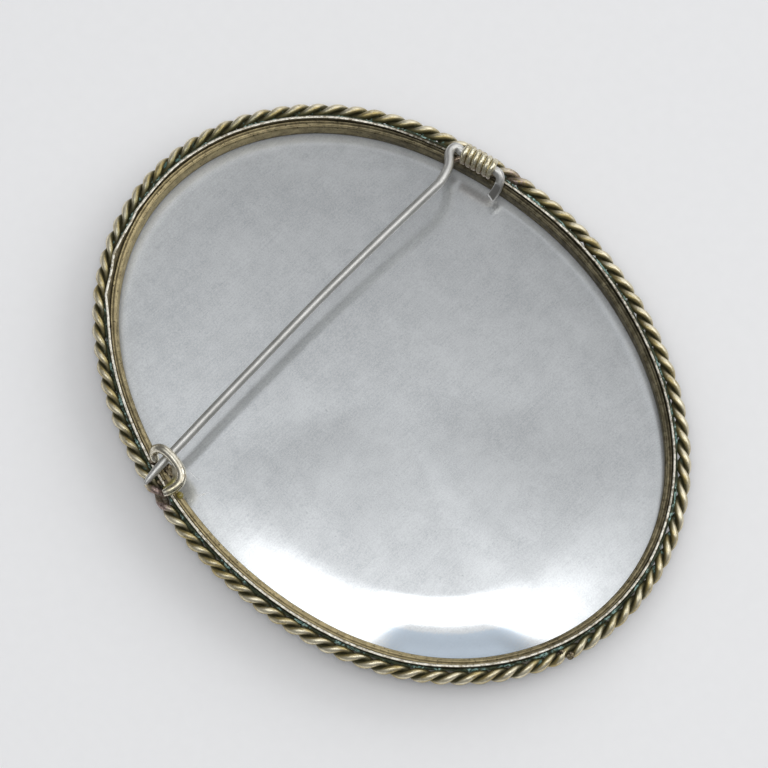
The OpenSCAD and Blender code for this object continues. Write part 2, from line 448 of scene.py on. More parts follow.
# %% [markdown]
# ## The frame wall
#
# The frame is a strip of thin metal bent on edge into an oval, with its front edge
# pressed over the tablet. A strip is one section carried round the oval, so the mesh is
# a grid: steps round the oval by points round the section. The free top edge has been
# knocked about, so its points are pushed in and out at a few kinks, most at the very top.

# %% The wall and the front lip
OVAL_STEPS = 720
BENT_DEPTH = 0.5 * MM
WORN_DEPTH = 0.045 * MM
INNER_FACE = -0.11 * MM
LIT_LINING_START = 4.1 * MM
KINKS = [
    (0, 0), (86, -0.02), (96, -0.1), (100, -0.14), (108, -0.14), (119.5, -0.24), (125, -0.15),
    (129, -0.07), (140, 0), (180, -0.04), (186, -0.1), (191, -0.06), (193, 0.03), (196.5, -0.09),
    (199, -0.02), (205, 0.26), (208.5, 0.08), (211, 0.12), (214.4, 0.28), (217, 0.1), (219, 0),
    (223, -0.04), (232, 0), (360, 0),
]


def carried(section, t, out_shift=0.0, lift=0.0):
    """Rings of a section carried round the oval. Section columns: distance outwards and
    height, listed counter-clockwise. The shifts may differ from step to step."""
    section = np.asarray(section)[::-1, :2] * MM
    x, y = oval(t[:, None], section[None, :, 0] + out_shift)
    z = np.broadcast_to(section[None, :, 1] + lift, x.shape)
    return np.stack([x, y, z], -1)


def knocked(t):
    """How far out the free edge stands at t: straight from kink to kink, whose places
    are in degrees and millimetres, with a slow unevenness everywhere."""
    kinked = np.interp(np.degrees(t), *zip(*KINKS)) * MM
    return kinked + 0.025 * MM * ripple(t, 3, (4, 7, 11, 17, 29))


wall_section = [
    (0.13, 1.46), (0.13, 2.4), (0.13, 3.4), (0.13, 4.2), (0.13, 4.7), (0.13, 4.95), (0.13, 5.12),
    (0.13, 5.2), (0.122, 5.25), (0.1, 5.282), (0.06, 5.297), (0.0, 5.3), (-0.06, 5.297),
    (-0.1, 5.282), (-0.122, 5.25), (-0.13, 5.2), (-0.13, 5.12), (-0.13, 4.95), (-0.13, 4.7),
    (-0.13, 4.2), (-0.13, 3.4), (-0.13, 2.4), (-0.13, 1.78), (-0.16, 1.68), (-0.25, 1.65),
    (-0.6, 1.65), (-0.85, 1.65), (-0.97, 1.62), (-1.02, 1.55), (-1.03, 1.47), (-1.0, 1.38),
    (-0.92, 1.32), (-0.8, 1.3), (-0.5, 1.3), (-0.2, 1.3), (0.0, 1.31), (0.08, 1.34), (0.12, 1.39),
]
t = turns(OVAL_STEPS)
wall_out, wall_heights = np.asarray(wall_section)[::-1].T * MM
near_top = np.clip((wall_heights - RIM_TOP) / BENT_DEPTH + 1, 0, 1) ** 1.3
wall_rings = carried(wall_section, t, knocked(t)[:, None] * near_top)
filed = 0.5 + 0.5 * ripple(t, 4, (5, 9, 14, 23, 37))
wall_rings[..., 2] -= 0.03 * MM * near_top * filed[:, None]
# The free edge's bare metal is partly wear and partly a painted highlight, dimmed on two stretches
# of the oval.
rubbed = 1 - 0.45 * near(t, 60, 62) - 0.45 * near(t, 119, 13)
frame_wall = new_mesh(
    "frame_wall",
    wall_rings,
    grid_quads(OVAL_STEPS, len(wall_section), close_rows=True),
    values={
        "worn": np.clip(1 + (wall_heights - RIM_TOP) / WORN_DEPTH, 0, 1) * rubbed[:, None],
        "lining": (wall_out < INNER_FACE) & (wall_heights > LIT_LINING_START),
    },
)
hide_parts("bezel")
print("wall:", OVAL_STEPS, "steps round the oval,", len(wall_section), "round the section")

# %% [markdown]
# Old gilt metal is bright only where hands and cloths rub it. The wall's material mixes
# four looks: dark brown-green tarnish on the faces, patches where some gilding is left,
# a lighter brass on the lining above the ring, partly its own colour and partly painted
# light that lifts the shade there, and pale bare metal along the free edge, partly wear
# and partly a painted highlight, dimmer on two stretches of the oval. The last two are
# marked by values painted on the points.

# %% The wall's metal


def wall_look(place):
    """Tarnish, patches of gilding, a brass lining lightened with painted light, and a worn
    edge that is partly a painted highlight, mixed by noise.
    """
    worn = painted(place, "worn")
    patches = noise(place, 0.9 * MM, 3).between(0.35, 0.75)
    grime = noise(place, 0.35 * MM, 4).between(0.35, 0.7)
    tarnish = grime.mixed((0.02, 0.018, 0.009), (0.06, 0.05, 0.026))
    gilded = (patches * 0.6).mixed(tarnish, (0.15, 0.12, 0.065))
    brass = grime.mixed((0.15, 0.13, 0.08), (0.36, 0.31, 0.20))
    # The lining above the ring is a lighter brass: partly its own colour, partly painted light
    # that lifts the shade there.
    faces = (painted(place, "lining") * 0.9).mixed(gilded, brass)
    scuffs = noise(place, 0.3 * MM, 4)
    bare = scuffs.between(0.3, 0.6).mixed((0.36, 0.31, 0.22), (0.90, 0.86, 0.75))
    # The edge's bare metal is partly wear and partly a painted highlight.
    edge = (worn + (scuffs - 0.5) * 0.5).between(0.2, 0.75)
    return {
        "Base_Color": edge.mixed(faces, bare),
        "Metallic": patches * 0.35 + 0.6,
        "Roughness": 0.5 - edge * 0.15,
        "Normal": bumps(grime, 0.02 * MM),
    }


dress(frame_wall, finish("tarnished_frame", wall_look), "brooch")

# %% [markdown]
# ## The rope border
#
# Two round wires are twisted together and soldered round the wall. Each wire is a
# helix round a middle line that itself follows the oval. Its rings must stand square to
# the helix, not to the oval, or the wires would look flattened where they turn, so the
# helix is worked out first and the rings are built on it. The rope was closed at one
# place near its end, and was crushed beside the catch: there the twist is disturbed.

# %% The two twisted wires
STEPS_A_TURN = 26
ROPE_STEPS = ROPE_TURNS * STEPS_A_TURN
ROPE_SIDES = 16
WIRE_RADIUS = STRAND / 2
ROPE_JOINT = 345.4
ROPE_CRUSHED = 256.5
ROPE_HEATED = 102.5


def rope_strand(lead):
    """Rings of one wire of the rope. Its middle circles the rope's middle line at half
    its own thickness, with ROPE_TURNS turns round the oval and the given lead. Its
    rings are circles, a little flattened on the outside where the rope has been rubbed.
    Three values come with them: 1 towards the other wire and 0 away from it, how far a
    point faces up and outwards, and how badly the rope is spoilt at each ring."""
    share = np.arange(ROPE_STEPS) / ROPE_STEPS
    t = even(share)
    twist = 2 * np.pi * ROPE_TURNS * share + lead
    twist += 0.16 * ripple(2 * np.pi * share, 11, (3, 7, 13, 19, 31))
    twist += 0.7 * near(t, ROPE_JOINT, 1.6) * np.sin(lead + 1)
    twist -= 0.6 * near(t, ROPE_CRUSHED, 1.8) * np.cos(lead)
    orbit = WIRE_RADIUS * (0.985 - 0.12 * near(t, ROPE_CRUSHED, 2.2))
    x, y = oval(t, ROPE_MIDDLE + orbit * np.cos(twist))
    path = np.stack([x, y, ROPE_HEIGHT + orbit * np.sin(twist)], -1)
    middle = np.stack([*oval(t, ROPE_MIDDLE), np.full_like(t, ROPE_HEIGHT)], -1)
    tangent = unit(np.roll(path, -1, 0) - np.roll(path, 1, 0))
    outward = path - middle
    outward = unit(outward - tangent * (outward * tangent).sum(-1, keepdims=True))
    side = np.cross(tangent, outward)
    angle = turns(ROPE_SIDES)[None, :, None]
    flattened = 0.07 + 0.14 * near(t, ROPE_CRUSHED, 3)[:, None, None]
    radius = WIRE_RADIUS * (1 - flattened * np.clip(np.cos(angle), 0, 1) ** 4)
    normal = np.cos(angle) * outward[:, None] + np.sin(angle) * side[:, None]
    rings = path[:, None] + radius * normal
    away = middle - np.stack([*oval(t, 0.0), middle[:, 2]], -1)
    crest = normal[..., 2] * 0.85 + (normal * unit(away)[:, None]).sum(-1) * 0.5
    hollow = np.broadcast_to(0.5 - 0.5 * np.cos(angle[..., 0]), crest.shape)
    spoilt = near(t, ROPE_CRUSHED, 3.2) + 0.62 * near(t, ROPE_HEATED, 4)
    return rings, hollow, np.clip(crest, -1, 1), spoilt[:, None]


print("rope:", ROPE_STEPS, "rings on each wire")

# %% [markdown]
# The second wire is the first one with half a turn's lead. Both go into one mesh, with
# the values that rope_strand returned beside its rings, and one more that tells how near
# the wall a point lies.

# %% The rope as one mesh
strands = zip(rope_strand(0), rope_strand(np.pi))
rope_rings, hollow, crest, spoilt = (np.concatenate(pair) for pair in strands)
starts = (0, ROPE_STEPS * ROPE_SIDES)
rope_quads = [grid_quads(ROPE_STEPS, ROPE_SIDES, True, start) for start in starts]
from_middle = np.linalg.norm(rope_rings[..., :2] / [HALF_LENGTH, HALF_WIDTH], axis=-1)
near_wall = np.clip(1 - (from_middle - 1) / 0.06, 0, 1)
rope_wires = new_mesh(
    "rope_wires",
    rope_rings,
    np.concatenate(rope_quads),
    values={"hollow": hollow, "crest": crest, "spoilt": spoilt, "near_wall": near_wall},
)
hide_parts("rope_border")

# %% [markdown]
# The wires are brass with worn silver-gilt. They grow darker towards the hollows between
# them, partly dirt and partly painted shade, and green copper salts grow where the rope
# meets the wall. The crests carry a painted highlight as well as wear, and the lower
# sides painted shade. The depth of a point in the hollow is known from its angle on the
# wire, so it was kept with the mesh, and the material only has to make its border
# ragged with noise.

# %% The rope's metal


def rope_look(place):
    """Worn gilt with a painted highlight on the crest of each wire, olive brass on its
    flanks with painted shade on their lower side, dark brown towards the hollows, partly
    dirt and partly painted shade, green salts by the wall, and bare copper where the rope
    was crushed or heated."""
    hollow = painted(place, "hollow")
    crest = painted(place, "crest")
    near_wall = painted(place, "near_wall")
    spoilt = painted(place, "spoilt")
    cloud = noise(place, 2.2 * MM, 3)
    fine = noise(place, 0.18 * MM, 4)
    # Darker towards the hollows: partly dirt and partly painted shade.
    darkening = (hollow * 1.1 + (fine - 0.5) * 0.5 + (cloud - 0.5) * 0.7).between(0.25, 0.8)
    body = cloud.between(0.35, 0.65).mixed((0.44, 0.35, 0.15), (0.52, 0.43, 0.22))
    # A painted highlight on the crests, which are also worn, and painted shade on the lower side
    # of each wire.
    rubbed = (crest + (cloud - 0.5) * 0.9 + (fine - 0.5) * 0.5).between(0.62, 1.0)
    shaded = (1 - crest.between(-0.2, 0.55)) * 0.6
    worn = rubbed.mixed(shaded.mixed(body, (0.16, 0.14, 0.065)), (0.86, 0.79, 0.60))
    green = (near_wall + (cloud - 0.5) * 0.6).between(0.35, 0.9) * 0.7
    metal = darkening.mixed(green.mixed(worn, (0.085, 0.10, 0.045)), (0.078, 0.07, 0.032))
    copper = (spoilt + (fine - 0.5) * 0.8).between(0.35, 0.75) * (1 - darkening * 0.7)
    salts = noise(place, 0.7 * MM, 4).between(0.56, 0.64) * (near_wall * hollow).between(0.3, 0.55)
    pink = fine.between(0.4, 0.6).mixed((0.17, 0.12, 0.10), (0.46, 0.35, 0.32))
    return {
        "Base_Color": salts.mixed(copper.mixed(metal, pink), (0.16, 0.30, 0.27)),
        "Metallic": 0.85 - salts * 0.8 - darkening * 0.3,
        "Roughness": darkening * 0.25 + salts * 0.3 + 0.33,
        "Normal": bumps(fine, 0.02 * MM),
    }


dress(rope_wires, finish("twisted_gilt_wire", rope_look), "brooch")

# %% [markdown]
# ## The solder between rope and wall
#
# Solder ran into the valley between the rope and the wall and has gone dark green and
# brown. It is a thin bead that follows the oval, and its height and thickness wander.
# A net of thin turquoise lines is the distance of a noise from its middle value: that
# is zero along curves, where a plain noise would give blobs.

# %% The solder seam
SEAM_STEPS = 1100
SEAM_SIDES = 10
seam_t = turns(SEAM_STEPS)[:, None]
seam_angle = turns(SEAM_SIDES)
seam_out = 0.2 * MM + 0.03 * MM * ripple(seam_t, 21, (17, 31, 47, 71, 97))
seam_radius = 0.15 * MM * (1 + 0.45 * ripple(seam_t, 22, (23, 41, 67, 101, 131)))
seam_height = RIM_TOP - 0.62 * MM + 0.06 * MM * ripple(seam_t, 23, (9, 21, 37, 59, 83))
seam_x, seam_y = oval(seam_t, seam_out + seam_radius * np.cos(seam_angle))
seam_rings = np.stack([seam_x, seam_y, seam_height - seam_radius * np.sin(seam_angle)], -1)
solder_seam = new_mesh("solder_seam", seam_rings, grid_quads(SEAM_STEPS, SEAM_SIDES, True))


def salts_look(place):
    """Dark green and brown crust with a net of thin turquoise lines in patches."""
    net = 1 - abs(noise(place, 0.45 * MM, 2) - 0.5).between(0.02, 0.09)
    patch = noise(place, 1.3 * MM, 2).between(0.46, 0.58)
    crust = noise(place, 0.22 * MM, 4)
    dark = crust.between(0.4, 0.6).mixed((0.014, 0.022, 0.011), (0.055, 0.068, 0.034))
    pale = crust.between(0.4, 0.6).mixed((0.13, 0.25, 0.23), (0.38, 0.56, 0.51))
    return {
        "Base_Color": (net * patch).mixed(dark, pale),
        "Roughness": 0.75,
        "Normal": bumps(crust, 0.05 * MM),
    }


dress(solder_seam, finish("copper_salts", salts_look), "brooch")

# %% [markdown]
# ## The inner ring
#
# A drawn ring with fine lines lies just inside the wall and holds the plate down. Its
# section has two low beads with grooves between them, all real shape, since its lines
# catch the light from every side. Below the beads its inner face draws back, so that
# its foot on the plate is always in shadow. The beads are golden on one half of the oval
# and brown-green on the other: painted light and shade, which a value at each step
# records. The section's third number darkens the grooves, with dirt and painted shade,
# and the faces under and behind the beads, with painted shade.

# %% The retaining ring
# Each point: distance outwards, height, and a shade value that is 1 on the bead tops, lower in the
# grooves, with dirt and painted shade, and low on the faces under and behind the beads, with
# painted shade.
ring_section = [
    (-0.17, 2.72, 0), (-0.17, 4.5, 0.2), (-0.172, 4.73, 0.45), (-0.184, 4.81, 0.65),
    (-0.22, 4.85, 0.75), (-0.28, 4.86, 0.75), (-0.32, 4.85, 0.65), (-0.35, 4.825, 0.45),
    (-0.37, 4.81, 0.35), (-0.39, 4.81, 0.35), (-0.41, 4.825, 0.5), (-0.44, 4.85, 0.75),
    (-0.49, 4.87, 0.9), (-0.55, 4.875, 1), (-0.61, 4.865, 0.85), (-0.655, 4.84, 0.65),
    (-0.675, 4.825, 0.5), (-0.69, 4.82, 0.5), (-0.71, 4.825, 0.7), (-0.74, 4.825, 1),
    (-0.775, 4.8, 1), (-0.82, 4.73, 0.95), (-0.85, 4.62, 0.9), (-0.868, 4.48, 0.85),
    (-0.87, 4.3, 0.8), (-0.865, 4.0, 0.75), (-0.86, 3.7, 0.7), (-0.845, 3.4, 0.6),
    (-0.81, 3.0, 0.4), (-0.76, 2.8, 0.1),
]
# Painted light round the oval, by degrees: golden where the light falls, brown-green where the
# beads are in shade.
LIGHT_ROUND_RING = [
    (0, 0.5), (25, 0.32), (60, 0.18), (110, 0.2), (135, 0.4), (165, 0.75), (190, 0.95),
    (215, 0.6), (240, 0.5), (268, 0.75), (292, 1.0), (320, 0.6), (345, 0.42), (360, 0.5),
]
ring_lift = 0.015 * MM * ripple(t, 31, (2, 5, 9, 14, 22))[:, None]
ring_shift = 0.015 * MM * ripple(t, 32, (3, 6, 11, 17, 26))[:, None]
ring_out, _, ring_shading = np.asarray(ring_section)[::-1].T
# The value named gilding holds painted light and shade round the oval, and the one named bead
# darkens the grooves and the shaded faces.
inner_ring = new_mesh(
    "inner_ring",
    carried(ring_section, t, ring_shift, ring_lift),
    grid_quads(OVAL_STEPS, len(ring_section), close_rows=True),
    values={
        "bead": ring_shading,
        "gilding": np.interp(np.degrees(t), *zip(*LIGHT_ROUND_RING))[:, None],
        "inward": ring_out * MM,
        "round": np.abs(t - np.pi)[:, None] * 0.4 * MM,
    },
)
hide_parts("retaining_ring")


def ring_look(place):
    """Brass, golden on one half of the oval and brown-green on the other, which is painted
    light and shade, and dark in the grooves and under the beads, with dirt and painted
    shade, with specks. Its drawn lines are a noise of the place across the section,
    which hardly changes along the ring."""
    bead = painted(place, "bead")
    gilt = painted(place, "gilding")
    inward = painted(place, "inward")
    round_oval = painted(place, "round")
    in_section = place.node("CombineXYZ", X=inward, Y=round_oval)
    height = place.node("SeparateXYZ", Vector=place, output=2)
    top = height.between(RIM_TOP - 0.9 * MM, RIM_TOP - 0.55 * MM)
    mottle = noise(place, 0.8 * MM, 4)
    streaks = noise(place, 0.3 * MM, 4)
    specks = noise(place, 0.16 * MM, 3).between(0.58, 0.7)
    brown = mottle.between(0.35, 0.65).mixed((0.08, 0.07, 0.044), (0.19, 0.168, 0.112))
    brass = mottle.between(0.3, 0.7).mixed((0.38, 0.31, 0.17), (0.60, 0.50, 0.28))
    lines = noise(in_section, 0.07 * MM, 2)
    # Painted light and shade: golden brass on the lit half of the oval, brown-green on the other.
    lit_brass = (gilt * 1.1 + (streaks - 0.5) * 0.6 + (lines - 0.5) * 0.7).between(0.1, 1.0)
    metal = lit_brass.mixed(brown, brass)
    # Darker in the grooves, with dirt and painted shade, and on the faces under the beads, with
    # painted shade.
    shade = (bead + (streaks - 0.5) * 0.5).between(0.0, 0.75)
    lined = shade.mixed((0.028, 0.022, 0.014), metal)
    return {
        "Base_Color": specks.mixed(lined, (0.03, 0.024, 0.016)),
        "Metallic": shade * top * 0.9,
        "Specular_IOR_Level": 0.15,
        "Roughness": 0.65 - top * 0.3 + mottle * 0.2,
        "Normal": bumps(mottle, 0.02 * MM),
    }


dress(inner_ring, finish("lined_brass", ring_look), "brooch")

# %% [markdown]
# ## The tin plate
#
# The back is closed by a thin bright plate that was pressed from a sheet: a slow dome,
# almost flat at the edge. On the side nearest to the camera it is rolled down further.
# The gloss shows its shape, so the shape has to be right before any colour: the bright
# band along that side is the lamp above, seen in the rolled part.

# %% Directions round the plate
PLATE_STEPS = 360
edge_x, edge_y = oval(turns(PLATE_STEPS), -INSIDE)


def smooth_step(value):
    """0 up to 0, 1 from 1, and the cubic 3 v v - 2 v v v between them."""
    v = np.clip(value, 0, 1)
    return v * v * (3 - 2 * v)


edge_direction = unit(np.stack([edge_x, edge_y], -1))
edge_angle = np.arctan2(edge_y, edge_x)


def sector(middle, full, none):
    """A number for each direction of the plate: 1 up to full degrees from the middle
    one, and 0 from none degrees on. The middle is in degrees to the right of straight
    down in the picture."""
    angle = math.radians(middle)
    towards = np.array(picture_east.xy) * math.sin(angle)
    towards = towards - np.array(picture_north.xy) * math.cos(angle)
    off = np.degrees(np.arccos(np.clip(edge_direction @ towards, -1, 1)))
    return smooth_step((none - off) / (none - full))[None, :]


rolled = sector(5, 36, 82)
levelled = sector(13, 8, 22)
far_side = sector(180, 70, 110)
print("rolled down in", int((rolled > 0.5).sum()), "of", PLATE_STEPS, "directions")

# %% [markdown]
# One function gives the height of the plate's top, and the whole top is that function at
# many shares of the way from the middle to the edge, in every direction. The underside
# is the same surface, one thickness lower, so the sheet is equally thick everywhere.

# %% The height of the plate's top
ROLL_DEPTH = 0.27 * MM
ROLL_START = 0.733
FLANGE_START = 0.82
LIP_START = 0.925
CALM_MIDDLE = 0.3
VALLEY = 0.35


def plate_top(share):
    """Height of the plate's top at a share of the way from the middle to the edge, for
    each direction. A dome of 1 - share squared levels out over the flange, with a low
    lip at the ring. Towards the roll a swelling rises to ROLL_START and falls again, and
    where the roll is deepest it falls into a shallow valley before the flange. Up to
    CALM_MIDDLE it rises more slowly, or its direction would show as a crease there."""
    share = share[:, None]
    dome_part = PLATE_BULGE * (1 - share ** 2)
    flange = 0.12 * PLATE_BULGE * np.clip((share - FLANGE_START) / (1 - FLANGE_START), 0, 1) ** 3
    lip = 0.018 * MM * (1 - rolled) * smooth_step((share - LIP_START) / 0.04)
    fall_width = (1 - ROLL_START) * (1.05 - 0.62 * levelled)
    fall = smooth_step((share - ROLL_START) / fall_width)
    climb = smooth_step((share - ROLL_START - fall_width) / 0.09)
    rise = smooth_step(share / ROLL_START) * smooth_step(share / CALM_MIDDLE)
    swelling = rise - fall + VALLEY * levelled * (climb - fall)
    level_part = (1 - rolled + 1.9 * levelled) * flange
    roll = rolled * ROLL_DEPTH * (1 - 0.35 * levelled)
    return PLATE_EDGE - GAP + dome_part + lip + level_part + roll * swelling


print("middle of the plate:", round(float(plate_top(np.zeros(1))[0, 0] / MM), 2), "mm up")

# %% [markdown]
# The plate becomes a tube of rings that lie inside one another: from the middle of its
# underside out to its edge, and over the top back to the middle. The rings are closest
# over the roll, where reflections bend most.

# %% The plate as rings
INNERMOST = 0.004
BLUE_REFLECTION_FROM = 0.85
DULLED_FROM = 0.93


def stacked(shares, heights):
    """Rings of the oval's outline, each drawn in to its share and set at its height."""
    x = shares[:, None] * edge_x
    y = shares[:, None] * edge_y
    heights = heights if heights.ndim == 2 else heights[:, None]
    return np.stack([x, y, np.broadcast_to(heights, x.shape)], -1)


outwards = np.concatenate([[INNERMOST], np.linspace(0.02, 0.7, 36), np.linspace(0.71, 1.0, 44)])
top_shares = outwards[::-1]
under_shares = np.concatenate([np.linspace(INNERMOST, 0.7, 10), np.linspace(0.74, 1.0, 10)])
under = stacked(under_shares, plate_top(under_shares) - PLATE_THICKNESS)
over = stacked(top_shares, plate_top(top_shares))


def along_edge(band, start):
    """A number for each point of the plate: that of the band of directions on its top,
    from the share start outwards, and 0 elsewhere."""
    on_top = band * smooth_step((top_shares[:, None] - start) / 0.03)
    return capped(np.concatenate([np.zeros(under.shape[:2]), on_top]))


# The first value marks where a speckled blue reflection is painted over the roll.
tin_plate = new_mesh(
    "tin_plate",
    *closed_tube(np.concatenate([under, over])),
    values={
        "blue_reflection": along_edge(levelled, BLUE_REFLECTION_FROM),
        "dulled": along_edge(far_side, DULLED_FROM),
    },
)
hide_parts("back_plate")
print("plate:", len(top_shares), "rings on top and", len(under_shares), "below")

# %% [markdown]
# The plate is partly a mirror and partly dull, because old tin is clouded by very fine
# scratches. The two values above tell the material where it paints a speckled blue
# reflection over the roll, and where it is duller still beside the ring.

# %% The look of old tin


def tin_look(place):
    """Bright tin: almost one grey, with cloudy stains, fine specks and hair scratches, and
    a little lighter towards the picture's right, which is painted light. It is partly a
    mirror and partly dull, duller still by the ring on the upper side, and over the roll
    it carries a speckled blue painted reflection. It is faintly wavy, which makes the
    border of each reflection ragged."""
    dull = painted(place, "dulled")
    stains = noise(place, 7 * MM, 4)
    cloud = noise(place, 1.3 * MM, 4)
    specks = noise(place, 0.13 * MM, 2)
    hairs = noise(place, 0.4 * MM, 3, stretch=(0.1, 7, 1))
    waves = noise(place, 1.6 * MM, 3, 0.6)
    tone = (stains * 0.35 + cloud * 0.3 + specks * 0.7 + hairs * 0.45).between(0.45, 1.3)
    pits = noise(place, 0.3 * MM, 1).between(0.74, 0.78)
    # Painted light: the tin is a little lighter towards the picture's right.
    shaded = (tone + place.along(picture_east) * (0.08 / HALF_LENGTH)).between(-0.2, 1.1)
    grey = shaded.mixed((0.50, 0.52, 0.535), (0.80, 0.82, 0.83))
    rough = (specks - 0.5) * 1.4 + (cloud - 0.5) * 0.6
    # Painted reflection: over the roll the grey turns a speckled blue with a ragged border.
    blue_reflection_mask = (painted(place, "blue_reflection") + rough).between(0.3, 0.9)
    relief = bumps(waves, 0.006 * MM)
    grain = specks * 0.6 + hairs * 0.4
    bluish = (blue_reflection_mask * 0.8).mixed(grey, (0.50, 0.59, 0.69))
    return {
        "Base_Color": (pits * 0.3).mixed(bluish, (0.34, 0.34, 0.33)),
        "Metallic": 0.72 - dull * 0.26,
        "Roughness": stains * 0.04 + cloud * 0.03 + specks * 0.03 + dull * 0.08 + 0.11,
        "Normal": relief.node("Bump", Height=grain, Distance=0.002 * MM, Normal=relief),
    }


dress(tin_plate, finish("bright_tin", tin_look), "brooch")

# %% [markdown]
# A few deeper scratches beside the catch have raised a bright burr. Each is a hair-thin
# flat tube on the plate, so its path needs the plate's height at a place: the plate's
# own formula, at the place's share of the way to the edge and in its direction.

# %% Scratches by the catch
SCRATCH_STEPS = 8


def edge_share(x, y):
    """Share of the way from the middle to the plate's edge at which a place lies."""
    reach = np.interp(np.arctan2(y, x), edge_angle, np.hypot(edge_x, edge_y), period=2 * np.pi)
    return np.hypot(x, y) / reach


def on_plate(points):
    """Places on the plate's top over places in the plane, given in millimetres."""
    x, y = np.asarray(points, float).T * MM
    column = np.cos(np.arctan2(y, x)[:, None] - edge_angle).argmax(1)
    heights = plate_top(edge_share(x, y))
    return np.stack([x, y, heights[np.arange(len(x)), column]], -1)


scratch_swell = np.sin(np.linspace(0.2, np.pi - 0.2, SCRATCH_STEPS))
scratch_rings = []
for begin, end, width in [
    ((-5.1, -18.85), (-4.6, -17.9), 0.05), ((-4.95, -18.75), (-4.7, -18.2), 0.04),
    ((-7.15, -17.9), (-6.4, -17.88), 0.04), ((-6.42, -17.85), (-5.9, -17.7), 0.03),
]:
    scratch_path = on_plate(np.linspace(begin, end, SCRATCH_STEPS))
    scratch_half = width / 2 * MM * scratch_swell
    scratch_rings.append(wire(scratch_path, scratch_half, (0, 0, 1.0), 6, flat=0.6))
scratches = tubes("plate_scratches", scratch_rings)
burr = finish("bright_burr", lambda place: {"Base_Color": (0.95, 0.95, 0.94), "Roughness": 0.5})
dress(scratches, burr, "brooch")

# %% [markdown]
# ## The hinge coil
#
# The hinge is a wire wound six times round the pin and soldered on the rim, along the
# rim's own direction there. Positions round the hinge are easiest to give along its
# axis, across it and above it, so one function turns those three into a place on the
# brooch. The coil is a true helix, and its free end runs off under the pin.

# %% The coil
COIL_STEPS = 40
COIL_WIRE_RADIUS = COIL_WIRE / 2 * 1.12
ALONG = np.array([math.cos(HINGE_TURN), math.sin(HINGE_TURN), 0])
ACROSS = np.array([-math.sin(HINGE_TURN), math.cos(HINGE_TURN), 0])


def at_hinge(steps, end=0):
    """Places given in millimetres along the hinge axis, across it and above it. With
    end 1 or -1 the first is counted outwards from that end of the coil."""
    steps = np.asarray(steps, float) * MM
    along = end * (COIL_HALF + steps[:, 0]) if end else steps[:, 0]
    return HINGE + along[:, None] * ALONG + steps[:, 1:2] * ACROSS + steps[:, 2:] * [0, 0, 1]


coil_turn = np.linspace(0.02, COIL_TURNS - 0.05, COIL_STEPS * COIL_TURNS)
coil_angle = 2 * np.pi * coil_turn - np.pi / 2
coil_orbit = (BORE_RADIUS + COIL_WIRE_RADIUS) / MM
coil_reach = (COIL_HALF - COIL_WIRE_RADIUS) / MM
coil_along = coil_reach * np.clip(2 * (coil_turn - 0.5) / (COIL_TURNS - 1) - 1, -1, 1)
coil_circle = coil_orbit * np.stack([np.cos(coil_angle), np.sin(coil_angle)], -1)
coil_helix = at_hinge(np.concatenate([coil_along[:, None], coil_circle], -1))
free_end = [
    (-2.2, -0.96, -0.8), (-1.95, -0.66, -0.75), (-1.66, -0.36, -0.72), (-1.48, -0.12, -0.71),
]
coil_path = np.concatenate([smooth_curve(at_hinge(free_end), 8), coil_helix])
coil_radius = COIL_WIRE_RADIUS * np.interp(np.arange(len(coil_path)), [0, 20, 30], [0.8, 0.85, 1])
coil_rings = wire(coil_path, coil_radius, ALONG + [0, 0, 0.02], 16)
hinge_coil = new_mesh("hinge_coil", *closed_tube(coil_rings))


def coil_look(place):
    """Pale worn gilt with brown patches, and purple-brown painted shade on the lower
    side of the coil.
    """
    height = place.node("SeparateXYZ", Vector=place, output=2)
    cloud = noise(place, 0.7 * MM, 3)
    fine = noise(place, 0.11 * MM, 3)
    darkening = (cloud * 0.5 + fine * 0.5).between(0.46, 0.64)
    # Painted shade: below a wavering line the coil turns purple-brown.
    wavering = height + (cloud - 0.5) * 0.9 * MM
    low = 1 - wavering.between(float(HINGE[2]) - 0.1 * MM, float(HINGE[2]) + 0.8 * MM)
    worn = darkening.mixed((0.88, 0.83, 0.64), (0.44, 0.37, 0.22))
    return {
        "Base_Color": (low * 0.85).mixed(worn, (0.27, 0.19, 0.14)),
        "Metallic": 1.0,
        "Roughness": darkening * 0.15 + 0.26,
        "Normal": bumps(fine, 0.015 * MM),
    }


dress(hinge_coil, finish("worn_coil_wire", coil_look), "brooch")

# %% [markdown]
# The coil, the catch and the joint of the rope are soldered by hand, which leaves small
# lumps. Each is a ball whose radius wanders. Under the coil the solder lies over the rim
# like a saddle, which is made as a short thick wire along the rim.

# %% Solder at the joints
LUMP_ROWS = 20
LUMP_SIDES = 28
SADDLE_STEPS = 60


def lump(centre, radii, seed, roughness=0.12):
    """Rings of a melted-looking lump: an ellipsoid whose radius wanders with sine waves
    of its latitude and longitude. Centre and radii are in millimetres."""
    latitude = np.linspace(-np.pi / 2, np.pi / 2, LUMP_ROWS + 2)[1:-1, None]
    longitude = turns(LUMP_SIDES)[None, :]
    wander = ripple(longitude + 1.3 * latitude, seed, (1, 2, 3, 4, 6)) * np.cos(latitude)
    radius = 1 + roughness * (wander + 0.6 * ripple(2 * latitude, seed + 1, (1, 2, 3, 4, 5)))
    shape = np.stack([
        radius * np.cos(latitude) * np.cos(longitude),
        radius * np.cos(latitude) * np.sin(longitude),
        radius * np.sin(latitude) * np.ones_like(longitude),
    ], -1)
    return (np.asarray(centre) + shape * np.asarray(radii)) * MM


